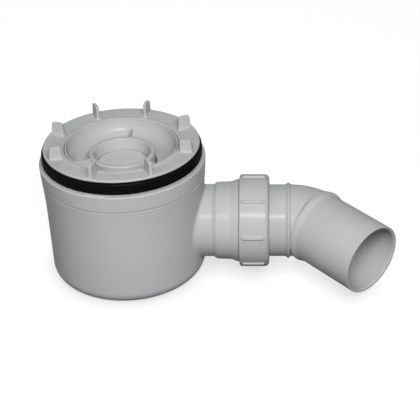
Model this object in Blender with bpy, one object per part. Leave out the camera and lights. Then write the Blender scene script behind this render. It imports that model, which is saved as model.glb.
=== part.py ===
"""Shower trap with a finned clamping flange, a lift-out dip funnel and a swivelling 45 degree outlet.

The cup stands on its flat base at the origin, +Z up, with its outlet along +X. All sizes are in metres.
"""
import math

import bmesh
import bpy
from mathutils import Matrix, Vector

# Fits shared by all pieces
GAP = 0.0003
RING_STEPS = 48
PIPE_STEPS = 40
CORNER_STEPS = 4

# Cup
CUP_TOP_RADIUS = 0.0549
CUP_DRAFT = 0.0009
CUP_BASE_RADIUS = CUP_TOP_RADIUS - CUP_DRAFT
CUP_CORNER_RADIUS = 0.0090
CUP_WALL = 0.0028
CUP_FLOOR = 0.0030
SHOULDER_HEIGHT = 0.0665
SHOULDER_RISE = 0.0075
SHOULDER_STEP = 0.0011
SEAM_HEIGHT = SHOULDER_HEIGHT + SHOULDER_RISE
TONGUE_THICKNESS = 0.0018
WEIR_DROP = 0.0045
WEIR_INSET = 0.0174
WEIR_THICKNESS = 0.0025
WEIR_HEIGHT = SHOULDER_HEIGHT - WEIR_DROP
WEIR_OFFSET = CUP_TOP_RADIUS - WEIR_INSET

# Collar ring on top of the cup
COLLAR_HEIGHT = 0.0123
COLLAR_FLARE = 0.0007
COLLAR_EDGE = 0.0006
NOTCH_TURN = math.radians(-101.5)
NOTCH_WIDTH = 0.0145
NOTCH_DEPTH = 0.0007
COLLAR_WALL = 0.0027
COLLAR_WEB = 0.0035
COLLAR_BAND = 0.0082
SLEEVE_WALL = 0.0028
SLEEVE_LENGTH = 0.0180
COLLAR_BASE_RADIUS = CUP_TOP_RADIUS + SHOULDER_STEP
COLLAR_TOP_RADIUS = COLLAR_BASE_RADIUS + COLLAR_FLARE
THREAD_RADIUS = COLLAR_BASE_RADIUS - COLLAR_BAND

# Tray seal
SEAL_HEIGHT = 0.0081
SEAL_WIDTH = 0.0067
SEAL_EDGE = 0.0016
SEAL_RADIUS = THREAD_RADIUS + SEAL_WIDTH

# Clamping flange
DISC_RIM = 0.00535
DISC_EDGE = 0.0019
DISH_DEPTH = 0.0018
DISC_THICKNESS = 0.0028
DISC_BAND = 0.0089
DISC_RADIUS = THREAD_RADIUS + DISC_RIM
MOUTH_RADIUS = THREAD_RADIUS - DISC_BAND
MOUTH_BEAD_WIDTH = 0.0024
MOUTH_BEAD_HEIGHT = 0.0007
SEAT_WALL = 0.0023
SKIRT_WALL = 0.0026
SKIRT_CLEARANCE = 0.0027

# Fins that carry a cover
FIN_COUNT = 8
FIN_TURN = math.radians(28.9)
FIN_INSET = 0.00165
FIN_LENGTH = 0.0092
FIN_TOP_LENGTH = 0.0076
FIN_SLOPE = 0.0007
FIN_HEIGHT = 0.0087
FIN_THICKNESS = 0.0023
FIN_CORNER = 0.0010
FIN_OUTER_RADIUS = DISC_RADIUS - FIN_INSET

# Lift-out dip funnel
BOWL_WALL = 0.0020
BOWL_DEPTH = 0.0130
BOWL_RIM = 0.0012
TUBE_BAND = 0.0114
LIP_WIDTH = 0.0026
LIP_ROUNDING = 0.0006
SEAT_BAND = 0.0070
SEAT_SKIRT = 0.0080
TUBE_BORE = MOUTH_RADIUS - TUBE_BAND
LIP_RADIUS = TUBE_BORE - LIP_WIDTH
SEAT_RADIUS = TUBE_BORE + SEAT_BAND
DIP_WALL = 0.0022
DIP_CLEARANCE = 0.0130

# Lifting ring in the throat
WATER_GAP = 0.0024
LIFT_RING_WALL = 0.0031
LIFT_RING_DROP = 0.0051
LIFT_RING_HEIGHT = 0.0120
LEDGE_WIDTH = 0.0014
LEDGE_THICKNESS = 0.0015
FLOOR_DROP = 0.0080
FLOOR_THICKNESS = 0.0020
BORE_TAPER = 0.0013
ARM_COUNT = 3
ARM_TURN = math.radians(85.5)
ARM_THICKNESS = 0.0014
ARM_DROP = 0.0006
ARM_HEIGHT = 0.0086
LIFT_RING_RADIUS = LIP_RADIUS - WATER_GAP
LIFT_RING_BORE = LIFT_RING_RADIUS - LIFT_RING_WALL

# Funnel seal
FUNNEL_SEAL_HEIGHT = 0.0030
FUNNEL_SEAL_EDGE = 0.0007

# Outlet of the cup
OUTLET_HEIGHT = 0.03535
SPIGOT_RADIUS = 0.0250
STUB_WALL = 0.0026
STUB_STEP = 0.0002
STUB_LENGTH = 0.0061
SOCKET_WALL = 0.0019
SOCKET_STEP = 0.0016
SOCKET_LENGTH = 0.0179
BARREL_WALL = 0.0030
BARREL_LENGTH = 0.0091
FLARE_STEP = 0.0006
FLARE_LENGTH = 0.0040
FLARE_FACE = 0.0008
SOCKET_DEPTH = 0.0213
MOUTH_CHAMFER = 0.0023
MOUTH_CHAMFER_LENGTH = 0.0030

# Compression nut
NUT_WALL = 0.0035
NUT_LENGTH = 0.0206
NUT_END_WALL = 0.0043
NUT_CHAMFER = 0.0012
NUT_SHOULDER = 0.0036
RIB_COUNT = 8
RIB_TURN = math.radians(8.6)
RIB_HEIGHT = 0.0013
RIB_WIDTH = 0.0024
RIB_LENGTH = 0.0158
RIB_SINK = 0.0010

# Cone seal and slip washer
WASHER_THICKNESS = 0.0014
CONE_NOSE = 0.0027

# Elbow
ELBOW_WALL = 0.0022
ELBOW_REACH = 0.0370
ELBOW_BEND_RADIUS = 0.0255
ELBOW_ANGLE = math.radians(45.0)
ELBOW_TURN = math.radians(6.3)
ELBOW_LEG = 0.0610
LEG_TAPER = 0.0004
END_BEVEL = 0.0006
BEAD_OFFSET = 0.0036
BEAD_WIDTH = 0.0042
BEAD_HEIGHT = 0.0013
STOP_RING_WIDTH = 0.0044
STOP_RING_HEIGHT = 0.0019
RIDGE_STEPS = 6
BEND_STEPS = 7

# Heights and places worked out from the sizes above
COLLAR_BASE = SEAM_HEIGHT + GAP
COLLAR_TOP = SEAM_HEIGHT + COLLAR_HEIGHT
SEAL_BASE = COLLAR_TOP + GAP
SEAL_TOP = SEAL_BASE + SEAL_HEIGHT
DISC_BASE = SEAL_TOP + GAP
DISC_TOP = DISC_BASE + DISC_EDGE
MOUTH_HEIGHT = DISC_TOP - DISH_DEPTH
SKIRT_RADIUS = THREAD_RADIUS - GAP
SKIRT_BASE = COLLAR_TOP - SLEEVE_LENGTH + SKIRT_CLEARANCE
FUNNEL_RADIUS = MOUTH_RADIUS - GAP
BOWL_FLOOR = MOUTH_HEIGHT - BOWL_DEPTH
FUNNEL_SEAT = BOWL_FLOOR - BOWL_WALL
DIP_RADIUS = TUBE_BORE + DIP_WALL
BOWL_REACH = FUNNEL_RADIUS - BOWL_RIM - LIFT_RING_RADIUS
BOWL_CURVE = (BOWL_REACH**2 + BOWL_DEPTH**2) / (2 * BOWL_DEPTH)
DIP_BASE = CUP_FLOOR + DIP_CLEARANCE
FUNNEL_SEAL_TOP = FUNNEL_SEAT - GAP
FUNNEL_SEAL_BASE = FUNNEL_SEAL_TOP - FUNNEL_SEAL_HEIGHT
LEDGE_TOP = FUNNEL_SEAL_BASE - GAP
LIFT_RING_TOP = MOUTH_HEIGHT - LIFT_RING_DROP
RING_FLOOR = LIFT_RING_TOP - FLOOR_DROP
FLOOR_RADIUS = LIFT_RING_BORE - BORE_TAPER - GAP
SOCKET_BORE = SPIGOT_RADIUS + GAP
STUB_RADIUS = SPIGOT_RADIUS + STUB_STEP
STUB_BORE = STUB_RADIUS - STUB_WALL
SOCKET_RADIUS = SOCKET_BORE + SOCKET_WALL
BARREL_RADIUS = SOCKET_BORE + BARREL_WALL
FLARE_RADIUS = BARREL_RADIUS + FLARE_STEP
SOCKET_START = CUP_TOP_RADIUS + STUB_LENGTH
BARREL_START = SOCKET_START + SOCKET_LENGTH
BARREL_END = BARREL_START + BARREL_LENGTH
SPIGOT_START = BARREL_END - SOCKET_DEPTH + GAP
NUT_START = BARREL_START + GAP
NUT_BORE = BARREL_RADIUS + GAP
NUT_RADIUS = NUT_BORE + NUT_WALL
NUT_FACE = NUT_START + NUT_LENGTH
NUT_STOP = NUT_FACE - NUT_END_WALL
WASHER_END = NUT_STOP - GAP
CONE_END = WASHER_END - WASHER_THICKNESS - GAP
CONE_START = BARREL_END + GAP
LEG_RADIUS = SPIGOT_RADIUS - LEG_TAPER
ELBOW_CENTRE = BARREL_END + ELBOW_REACH
BEND_TANGENT = ELBOW_BEND_RADIUS * math.tan(ELBOW_ANGLE / 2)
BEND_START = ELBOW_CENTRE - BEND_TANGENT
BEAD_START = BEND_START - BEAD_OFFSET
BEND_END = BEND_START + ELBOW_BEND_RADIUS * ELBOW_ANGLE
LEG_END = BEND_END + ELBOW_LEG - BEND_TANGENT
STOP_RING_START = BEND_END - STOP_RING_WIDTH / 2


def clear_scene():
    """Removes every object and mesh that the file starts with."""
    for item in list(bpy.data.objects):
        bpy.data.objects.remove(item, do_unlink=True)
    for mesh in list(bpy.data.meshes):
        bpy.data.meshes.remove(mesh)


def make_material(name, colour, roughness):
    """Makes a plain moulded material from a colour and a roughness."""
    material = bpy.data.materials.new(name)
    material.use_nodes = True
    shader = material.node_tree.nodes["Principled BSDF"]
    shader.inputs["Base Color"].default_value = (*colour, 1.0)
    shader.inputs["Roughness"].default_value = roughness
    shader.inputs["Metallic"].default_value = 0.0
    material.diffuse_color = (*colour, 1.0)
    return material


def make_object(name, mesh_data, material=None, parent=None):
    """Turns a bmesh into a smooth-shaded object in the scene."""
    bmesh.ops.recalc_face_normals(mesh_data, faces=mesh_data.faces)
    mesh = bpy.data.meshes.new(name)
    mesh_data.to_mesh(mesh)
    mesh_data.free()
    mesh.shade_smooth()
    mesh.set_sharp_from_angle(angle=math.radians(34.0))
    item = bpy.data.objects.new(name, mesh)
    bpy.context.scene.collection.objects.link(item)
    item.parent = parent
    if material is not None:
        mesh.materials.append(material)
    return item


def make_guide(name, mesh_data, parent=None):
    """Makes a shape that only cuts or adds to other pieces."""
    item = make_object(name, mesh_data, parent=parent)
    item.hide_render = True
    item.display_type = "WIRE"
    return item


def combine(item, guide, operation):
    """Adds a guide's shape to an object, or cuts it away."""
    modifier = item.modifiers.new(guide.name, "BOOLEAN")
    modifier.operation = operation
    modifier.solver = "EXACT"
    modifier.object = guide


def arc(centre, radius, start, end, steps=CORNER_STEPS):
    """Points of a round corner in a profile, from one angle in degrees to another."""
    angles = [math.radians(start + (end - start) * i / steps) for i in range(steps + 1)]
    return [(centre[0] + radius * math.cos(a), centre[1] + radius * math.sin(a)) for a in angles]


def revolve(profile, steps, closed=True):
    """Spins a profile of (radius, height) points about Z into a bmesh."""
    solid = bmesh.new()
    points = [solid.verts.new((radius, 0.0, height)) for radius, height in profile]
    edges = [solid.edges.new(pair) for pair in zip(points, points[1:])]
    if closed:
        edges.append(solid.edges.new((points[-1], points[0])))
    bmesh.ops.spin(solid, geom=points + edges, cent=(0, 0, 0), axis=(0, 0, 1), angle=math.tau,
                   steps=steps, use_duplicate=False, use_merge=True)
    bmesh.ops.remove_doubles(solid, verts=solid.verts, dist=0.000001)
    return solid


def extrude_plate(solid, outline, thickness, turn):
    """Adds a plate whose (radius, height) outline stands in a radial plane, turned about Z."""
    faces = []
    for side in (-0.5, 0.5):
        corners = [solid.verts.new((r, side * thickness, z)) for r, z in outline]
        faces.append(corners)
        solid.faces.new(corners)
    count = len(outline)
    for i in range(count):
        j = (i + 1) % count
        solid.faces.new((faces[0][i], faces[0][j], faces[1][j], faces[1][i]))
    bmesh.ops.rotate(solid, verts=faces[0] + faces[1], cent=(0, 0, 0), matrix=Matrix.Rotation(turn, 3, "Z"))


def build_cup(material, outlet_axis):
    """Makes the moulded cup with its weir, outlet stub, socket and threaded barrel."""
    tongue_radius = COLLAR_BASE_RADIUS - COLLAR_WALL - GAP
    tongue_top = COLLAR_TOP - COLLAR_WEB - GAP
    corner = (CUP_BASE_RADIUS - CUP_CORNER_RADIUS, CUP_CORNER_RADIUS)
    outside = [(0.0, 0.0)]
    outside += arc(corner, CUP_CORNER_RADIUS, -90, 0, 2 * CORNER_STEPS)
    outside += [(CUP_TOP_RADIUS, SHOULDER_HEIGHT), (COLLAR_BASE_RADIUS, SEAM_HEIGHT)]
    outside += [(tongue_radius, SEAM_HEIGHT), (tongue_radius, tongue_top), (0.0, tongue_top)]
    cup = make_object("cup", revolve(outside, RING_STEPS, closed=False), material)

    inner_corner = CUP_CORNER_RADIUS - CUP_FLOOR
    inner_radius = CUP_BASE_RADIUS - CUP_WALL
    mouth_radius = tongue_radius - TONGUE_THICKNESS
    inside = [(0.0, CUP_FLOOR)]
    inside += arc((inner_radius - inner_corner, CUP_FLOOR + inner_corner), inner_corner, -90, 0)
    inside += [(CUP_TOP_RADIUS - CUP_WALL, SHOULDER_HEIGHT), (mouth_radius, SEAM_HEIGHT - CUP_WALL)]
    inside += [(mouth_radius, tongue_top + CUP_WALL), (0.0, tongue_top + CUP_WALL)]
    cavity = make_guide("cup_cavity", revolve(inside, RING_STEPS, closed=False))

    slab = bmesh.new()
    bmesh.ops.create_cube(slab, size=1.0)
    bmesh.ops.scale(slab, vec=(WEIR_THICKNESS, 2 * COLLAR_TOP_RADIUS, WEIR_HEIGHT), verts=slab.verts)
    middle = Vector((WEIR_OFFSET + WEIR_THICKNESS / 2, 0.0, WEIR_HEIGHT / 2))
    bmesh.ops.translate(slab, vec=middle, verts=slab.verts)
    weir = make_guide("weir_slab", slab)
    combine(cavity, weir, "DIFFERENCE")

    branch_start = WEIR_OFFSET + WEIR_THICKNESS + GAP
    step_end = SOCKET_START + SOCKET_STEP
    branch = [(0.0, branch_start), (STUB_RADIUS, branch_start), (STUB_RADIUS, SOCKET_START)]
    branch += [(SOCKET_RADIUS, step_end), (SOCKET_RADIUS, BARREL_START - FLARE_FACE - FLARE_LENGTH)]
    branch += [(FLARE_RADIUS, BARREL_START - FLARE_FACE), (FLARE_RADIUS, BARREL_START)]
    branch += [(BARREL_RADIUS, BARREL_START), (BARREL_RADIUS, BARREL_END), (0.0, BARREL_END)]
    tube = make_guide("outlet_tube", revolve(branch, PIPE_STEPS, closed=False), outlet_axis)

    mouth = SOCKET_BORE + MOUTH_CHAMFER
    bore = [(0.0, branch_start), (STUB_BORE, branch_start), (STUB_BORE, SPIGOT_START - GAP)]
    bore += [(SOCKET_BORE, SPIGOT_START - GAP), (SOCKET_BORE, BARREL_END - MOUTH_CHAMFER_LENGTH)]
    bore += [(mouth, BARREL_END), (mouth, BARREL_END + CUP_WALL), (0.0, BARREL_END + CUP_WALL)]
    outlet_bore = make_guide("outlet_bore", revolve(bore, PIPE_STEPS, closed=False), outlet_axis)

    combine(cup, tube, "UNION")
    combine(cup, cavity, "DIFFERENCE")
    combine(cup, outlet_bore, "DIFFERENCE")


def build_collar(material):
    """Makes the ring that closes the cup's top and takes the flange's thread."""
    sleeve_radius = THREAD_RADIUS + SLEEVE_WALL
    groove_radius = COLLAR_BASE_RADIUS - COLLAR_WALL
    groove_top = COLLAR_TOP - COLLAR_WEB
    sleeve_base = COLLAR_TOP - SLEEVE_LENGTH
    profile = [(THREAD_RADIUS, COLLAR_TOP), (THREAD_RADIUS, sleeve_base), (sleeve_radius, sleeve_base)]
    profile += [(sleeve_radius, groove_top), (groove_radius, groove_top), (groove_radius, COLLAR_BASE)]
    profile += [(COLLAR_BASE_RADIUS, COLLAR_BASE)]
    profile += arc((COLLAR_TOP_RADIUS - COLLAR_EDGE, COLLAR_TOP - COLLAR_EDGE), COLLAR_EDGE, 0, 90, 2)
    collar = make_object("collar", revolve(profile, RING_STEPS), material)

    inner = SEAL_RADIUS + GAP
    outer = COLLAR_TOP_RADIUS + GAP
    floor = COLLAR_TOP - NOTCH_DEPTH
    top = COLLAR_TOP + GAP
    notch = bmesh.new()
    extrude_plate(notch, [(inner, floor), (outer, floor), (outer, top), (inner, top)], NOTCH_WIDTH, NOTCH_TURN)
    combine(collar, make_guide("lip_notch", notch), "DIFFERENCE")


def build_tray_seal(material):
    """Makes the rubber ring between the collar and the flange."""
    bore = SKIRT_RADIUS + GAP
    profile = [(bore, SEAL_TOP), (bore, SEAL_BASE)]
    profile += arc((SEAL_RADIUS - SEAL_EDGE, SEAL_BASE + SEAL_EDGE), SEAL_EDGE, -90, 0, 3)
    profile += arc((SEAL_RADIUS - SEAL_EDGE, SEAL_TOP - SEAL_EDGE), SEAL_EDGE, 0, 90, 3)
    make_object("tray_seal", revolve(profile, RING_STEPS), material)


def dish_height(radius):
    """Height of the flange's top face, which falls towards the mouth."""
    share = (radius - MOUTH_RADIUS) / (DISC_RADIUS - MOUTH_RADIUS)
    return MOUTH_HEIGHT + DISH_DEPTH * share


def build_flange(material):
    """Makes the screwed clamping flange with its funnel seat and its fins."""
    bead_outer = MOUTH_RADIUS + MOUTH_BEAD_WIDTH
    bead_middle = MOUTH_RADIUS + MOUTH_BEAD_WIDTH / 2
    under = MOUTH_HEIGHT - DISC_THICKNESS
    seat_wall_end = FUNNEL_SEAT + SEAT_SKIRT
    seat_radius = SEAT_RADIUS + GAP
    seat_outer = seat_radius + SEAT_WALL
    cup_outer = MOUTH_RADIUS + SEAT_WALL
    ledge_bore = DIP_RADIUS + GAP
    seat_base = LEDGE_TOP - SEAT_WALL
    profile = [(DISC_RADIUS, DISC_BASE), (DISC_RADIUS, DISC_TOP), (bead_outer, dish_height(bead_outer))]
    profile += [(bead_middle, MOUTH_HEIGHT + MOUTH_BEAD_HEIGHT), (MOUTH_RADIUS, MOUTH_HEIGHT)]
    profile += [(MOUTH_RADIUS, seat_wall_end - GAP), (seat_radius, FUNNEL_SEAT), (seat_radius, LEDGE_TOP)]
    profile += [(ledge_bore, LEDGE_TOP), (ledge_bore, seat_base), (seat_outer, seat_base)]
    profile += [(seat_outer, FUNNEL_SEAT - GAP), (cup_outer, seat_wall_end - GAP), (cup_outer, under)]
    profile += [(SKIRT_RADIUS - SKIRT_WALL, under), (SKIRT_RADIUS - SKIRT_WALL, SKIRT_BASE)]
    profile += [(SKIRT_RADIUS, SKIRT_BASE), (SKIRT_RADIUS, DISC_BASE)]
    flange = make_object("flange", revolve(profile, RING_STEPS), material)

    inner = FIN_OUTER_RADIUS - FIN_LENGTH
    top = dish_height(FIN_OUTER_RADIUS) + FIN_HEIGHT
    top_inner = inner + FIN_SLOPE
    top_outer = top_inner + FIN_TOP_LENGTH
    root = DISC_TOP - DISC_EDGE / 2
    inner_root = dish_height(inner) - DISC_EDGE / 2
    outline = [(inner, inner_root), (FIN_OUTER_RADIUS, root), (FIN_OUTER_RADIUS, DISC_TOP)]
    outline += arc((top_outer - FIN_CORNER, top - FIN_CORNER), FIN_CORNER, 0, 90, 3)
    outline += [(top_inner, top)]
    fins = bmesh.new()
    for index in range(FIN_COUNT):
        extrude_plate(fins, outline, FIN_THICKNESS, FIN_TURN + index * math.tau / FIN_COUNT)
    combine(flange, make_guide("fin_plates", fins), "UNION")


def bowl_radius(height):
    """Radius of the bowl's inner face at a height: an arc that is level under the lifting ring's wall."""
    rise = BOWL_CURVE - (height - BOWL_FLOOR)
    return LIFT_RING_RADIUS + math.sqrt(BOWL_CURVE**2 - rise**2)


def bowl_point(share):
    """Point of the bowl's inner face, from the lip's rounding at 0 to the rim at 1, in equal angles."""
    start = math.asin((LIP_RADIUS + LIP_ROUNDING - LIFT_RING_RADIUS) / BOWL_CURVE)
    end = math.acos(1.0 - BOWL_DEPTH / BOWL_CURVE)
    angle = start + (end - start) * share
    return LIFT_RING_RADIUS + BOWL_CURVE * math.sin(angle), BOWL_FLOOR + BOWL_CURVE * (1.0 - math.cos(angle))


def build_funnel(material):
    """Makes the lift-out funnel: bowl, dip tube, and the lifting ring on its arms."""
    bowl_steps = 8
    profile = [(TUBE_BORE, DIP_BASE), (DIP_RADIUS, DIP_BASE), (DIP_RADIUS, FUNNEL_SEAT)]
    profile += [(SEAT_RADIUS, FUNNEL_SEAT), (FUNNEL_RADIUS, FUNNEL_SEAT + SEAT_SKIRT)]
    profile += [(FUNNEL_RADIUS, MOUTH_HEIGHT)]
    profile += [bowl_point(1.0 - i / bowl_steps) for i in range(bowl_steps + 1)]
    profile += [(LIP_RADIUS, BOWL_FLOOR - LIP_ROUNDING), (LIP_RADIUS, FUNNEL_SEAT), (TUBE_BORE, FUNNEL_SEAT)]
    funnel = make_object("dip_funnel", revolve(profile, RING_STEPS), material)

    ring_base = LIFT_RING_TOP - LIFT_RING_HEIGHT
    floor_bore = FLOOR_RADIUS + GAP
    ledge_top = RING_FLOOR - FLOOR_THICKNESS - GAP
    ledge_bore = floor_bore - LEDGE_WIDTH
    ring = [(LIFT_RING_BORE, LIFT_RING_TOP), (floor_bore, RING_FLOOR), (floor_bore, ledge_top)]
    ring += [(ledge_bore, ledge_top), (ledge_bore, ledge_top - LEDGE_THICKNESS)]
    ring += [(floor_bore, ring_base), (LIFT_RING_RADIUS, ring_base), (LIFT_RING_RADIUS, LIFT_RING_TOP)]
    lift_ring = make_guide("lifting_ring", revolve(ring, PIPE_STEPS))

    arm_top = LIFT_RING_TOP - ARM_DROP
    arm_base = arm_top - ARM_HEIGHT
    inner = (LIFT_RING_RADIUS + LIFT_RING_BORE) / 2
    sunk = BOWL_WALL / 2
    outline = [(inner, arm_base), (LIP_RADIUS + sunk, arm_base)]
    for share in (0.0, 0.25, 0.5, 0.75, 1.0):
        height = BOWL_FLOOR + (arm_top - BOWL_FLOOR) * share
        outline.append((max(bowl_radius(height), LIP_RADIUS) + sunk, height - sunk / 2 * (1 - share)))
    outline.append((inner, arm_top))
    arms = bmesh.new()
    for index in range(ARM_COUNT):
        extrude_plate(arms, outline, ARM_THICKNESS, ARM_TURN + index * math.tau / ARM_COUNT)
    arm_guide = make_guide("arm_plates", arms)
    combine(funnel, arm_guide, "UNION")
    combine(funnel, lift_ring, "UNION")


def build_ring_floor(material):
    """Makes the disc that closes the lifting ring."""
    base = RING_FLOOR - FLOOR_THICKNESS
    profile = [(0.0, base), (FLOOR_RADIUS, base), (FLOOR_RADIUS, RING_FLOOR), (0.0, RING_FLOOR)]
    make_object("ring_floor", revolve(profile, PIPE_STEPS, closed=False), material)


def build_funnel_seal(material):
    """Makes the rubber ring on which the funnel sits in the flange."""
    bore = DIP_RADIUS + GAP
    edge = FUNNEL_SEAL_EDGE
    profile = [(bore, FUNNEL_SEAL_TOP), (bore, FUNNEL_SEAL_BASE), (SEAT_RADIUS - edge, FUNNEL_SEAL_BASE)]
    profile += [(SEAT_RADIUS, FUNNEL_SEAL_BASE + edge), (SEAT_RADIUS, FUNNEL_SEAL_TOP - edge)]
    profile += [(SEAT_RADIUS - edge, FUNNEL_SEAL_TOP)]
    make_object("funnel_seal", revolve(profile, RING_STEPS), material)


def build_nut(material, outlet_axis):
    """Makes the compression nut with its low grip ribs."""
    bore = SPIGOT_RADIUS + GAP
    profile = [(NUT_BORE, NUT_START), (NUT_RADIUS - NUT_CHAMFER, NUT_START)]
    profile += [(NUT_RADIUS, NUT_START + NUT_CHAMFER)]
    centre = (NUT_RADIUS - NUT_SHOULDER, NUT_FACE - NUT_SHOULDER)
    profile += arc(centre, NUT_SHOULDER, 0, 90, CORNER_STEPS)
    profile += [(bore, NUT_FACE), (bore, NUT_STOP), (NUT_BORE, NUT_STOP)]
    nut = make_object("outlet_nut", revolve(profile, PIPE_STEPS), material, outlet_axis)

    start = NUT_START + 1.5 * NUT_CHAMFER
    rib_top = NUT_RADIUS + RIB_HEIGHT
    end = start + RIB_LENGTH
    rib_root = NUT_RADIUS - RIB_SINK
    rib_low = rib_top - RIB_HEIGHT / 2
    outline = [(rib_root, start), (rib_low, start), (rib_top, start + RIB_HEIGHT)]
    outline += [(rib_top, end - RIB_HEIGHT), (rib_low, end), (rib_root, end)]
    ribs = bmesh.new()
    for index in range(RIB_COUNT):
        extrude_plate(ribs, outline, RIB_WIDTH, -math.pi / 2 - RIB_TURN - index * math.tau / RIB_COUNT)
    combine(nut, make_guide("grip_ribs", ribs, outlet_axis), "UNION")


def build_cone_seal(material, outlet_axis):
    """Makes the tapered rubber ring that grips the spigot."""
    outer = NUT_BORE - GAP
    nose = CONE_START - CONE_NOSE
    shoulder = SOCKET_BORE + MOUTH_CHAMFER
    profile = [(SOCKET_BORE, nose), (SOCKET_BORE + GAP, nose), (shoulder, CONE_START)]
    profile += [(outer, CONE_START), (outer, CONE_END), (SOCKET_BORE, CONE_END)]
    make_object("cone_seal", revolve(profile, PIPE_STEPS), material, outlet_axis)


def build_washer(material, outlet_axis):
    """Makes the slip washer between the nut and the cone seal."""
    start = WASHER_END - WASHER_THICKNESS
    outer = NUT_BORE - GAP
    profile = [(SOCKET_BORE, start), (outer, start), (outer, WASHER_END), (SOCKET_BORE, WASHER_END)]
    make_object("slip_washer", revolve(profile, PIPE_STEPS), material, outlet_axis)


def elbow_frame(distance):
    """Centre and side direction of the elbow's path at a distance along it."""
    turned = min(max(distance - BEND_START, 0.0) / ELBOW_BEND_RADIUS, ELBOW_ANGLE)
    straight = min(distance, BEND_START)
    beyond = max(distance - BEND_END, 0.0)
    along = Vector((0.0, -math.sin(turned), math.cos(turned)))
    centre = Vector((0.0, -ELBOW_BEND_RADIUS * (1 - math.cos(turned)), straight))
    centre.z += ELBOW_BEND_RADIUS * math.sin(turned)
    side = Vector((0.0, math.cos(turned), math.sin(turned)))
    return centre + along * beyond, side


def elbow_radius(distance):
    """Outer radius of the elbow away from its rings: the leg is a little thinner than the spigot."""
    share = min(max((distance - BEND_START) / (BEND_END - BEND_START), 0.0), 1.0)
    return SPIGOT_RADIUS + (LEG_RADIUS - SPIGOT_RADIUS) * share


def ridge(start, width, height):
    """Stations of a rounded ridge that runs round the elbow."""
    shares = [i / RIDGE_STEPS for i in range(RIDGE_STEPS + 1)]
    places = [start + width * share for share in shares]
    return [(s, elbow_radius(s) + height * math.sin(math.pi * share)) for s, share in zip(places, shares)]


def build_elbow(material, outlet_axis):
    """Makes the spigot, bend and leg of the elbow as one pipe, with a bead and a stop ring."""
    bend = [BEND_START + (BEND_END - BEND_START) * i / BEND_STEPS for i in range(1, BEND_STEPS)]
    bead_end = BEAD_START + BEAD_WIDTH
    stations = [(SPIGOT_START, SPIGOT_RADIUS - END_BEVEL), (SPIGOT_START + 2 * END_BEVEL, SPIGOT_RADIUS)]
    stations += ridge(BEAD_START, BEAD_WIDTH, BEAD_HEIGHT)
    stations += [(s, elbow_radius(s)) for s in bend if bead_end + GAP < s < STOP_RING_START - GAP]
    stations += ridge(STOP_RING_START, STOP_RING_WIDTH, STOP_RING_HEIGHT)
    stations += [(LEG_END - END_BEVEL, LEG_RADIUS), (LEG_END, LEG_RADIUS - END_BEVEL / 2)]
    stations += [(LEG_END, LEG_RADIUS - ELBOW_WALL)]
    stations += [(s, elbow_radius(s) - ELBOW_WALL) for s in [BEND_END] + bend[::-1] + [BEND_START]]
    stations += [(SPIGOT_START, SPIGOT_RADIUS - ELBOW_WALL)]

    solid = bmesh.new()
    loops = []
    for distance, radius in stations:
        centre, side = elbow_frame(distance)
        turns = [math.tau * i / PIPE_STEPS for i in range(PIPE_STEPS)]
        around = [centre + radius * (math.cos(t) * Vector((1, 0, 0)) + math.sin(t) * side) for t in turns]
        loops.append([solid.verts.new(point) for point in around])
    for loop, following in zip(loops, loops[1:] + loops[:1]):
        for i in range(PIPE_STEPS):
            j = (i + 1) % PIPE_STEPS
            solid.faces.new((loop[i], loop[j], following[j], following[i]))
    elbow = make_object("elbow", solid, material, outlet_axis)
    elbow.rotation_euler = (0.0, 0.0, ELBOW_TURN)


def main():
    """Builds the whole trap."""
    clear_scene()
    cup_plastic = make_material("grey_cup_plastic", (0.46, 0.47, 0.48), 0.34)
    flange_plastic = make_material("light_flange_plastic", (0.56, 0.57, 0.58), 0.36)
    pipe_plastic = make_material("grey_pipe_plastic", (0.48, 0.49, 0.50), 0.32)
    washer_plastic = make_material("white_washer_plastic", (0.80, 0.80, 0.78), 0.45)
    rubber = make_material("black_rubber", (0.012, 0.012, 0.013), 0.55)

    outlet_axis = bpy.data.objects.new("outlet_axis", None)
    outlet_axis.location = (0.0, 0.0, OUTLET_HEIGHT)
    outlet_axis.rotation_euler = (0.0, math.pi / 2, 0.0)
    bpy.context.scene.collection.objects.link(outlet_axis)

    build_cup(cup_plastic, outlet_axis)
    build_collar(cup_plastic)
    build_tray_seal(rubber)
    build_flange(flange_plastic)
    build_funnel(flange_plastic)
    build_ring_floor(flange_plastic)
    build_funnel_seal(rubber)
    build_nut(pipe_plastic, outlet_axis)
    build_cone_seal(rubber, outlet_axis)
    build_washer(washer_plastic, outlet_axis)
    build_elbow(pipe_plastic, outlet_axis)


main()
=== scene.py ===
"""Looks of a grey plastic shower trap: moulded surfaces, plastic and rubber finishes, studio and camera.

Every visible moulding is worked out as a surface of two parameters, a profile turned about an axis or
carried along a path, and put into a mesh. Sizes of the mouldings are in millimetres and angles in degrees;
meshes, lamps and camera are in metres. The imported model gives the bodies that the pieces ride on.
"""

import logging
import math
from dataclasses import dataclass
from enum import Enum
from typing import Any, Sequence

import bmesh
import bpy
import numpy as np
from mathutils import Matrix, Vector

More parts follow.
